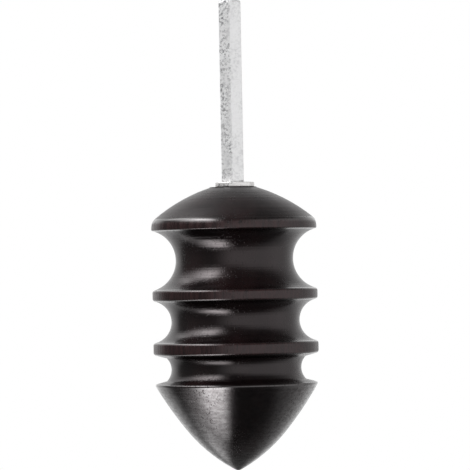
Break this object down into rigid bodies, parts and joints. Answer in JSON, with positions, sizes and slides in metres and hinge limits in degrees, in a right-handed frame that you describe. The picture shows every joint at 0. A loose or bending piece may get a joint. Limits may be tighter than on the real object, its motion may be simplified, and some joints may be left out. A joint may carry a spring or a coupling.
{
  "type": "leather edge burnisher",
  "caption": "Turned dark hardwood burnishing head with a domed top, rounded grooves of falling width and an ogive point, on a hexagonal steel drive shank with a seat washer.",
  "frame": {"origin": "centre of the shank's free end", "axes": "+Z along the tool's axis and out of the shank's free end, so the point is at the lowest Z; +X square to one of the shank's flats; -Y through one of the shank's corners"},
  "size_m": [0.0302, 0.0302, 0.086],
  "materials": {
    "dark_hardwood": "turned and waxed, satin, with fine lathe lines",
    "zinc_steel": "bright zinc plate, a little scuffed",
    "washer_steel": "bright zinc plate",
    "brass": "machined",
    "epoxy": "set resin, hidden"
  },
  "bodies": {
    "root": {"burnisher_head": "dark_hardwood", "drive_shank": "zinc_steel", "seat_washer": "washer_steel", "threaded_insert": "brass", "epoxy_bond": "epoxy"}
  },
  "joints": []
}
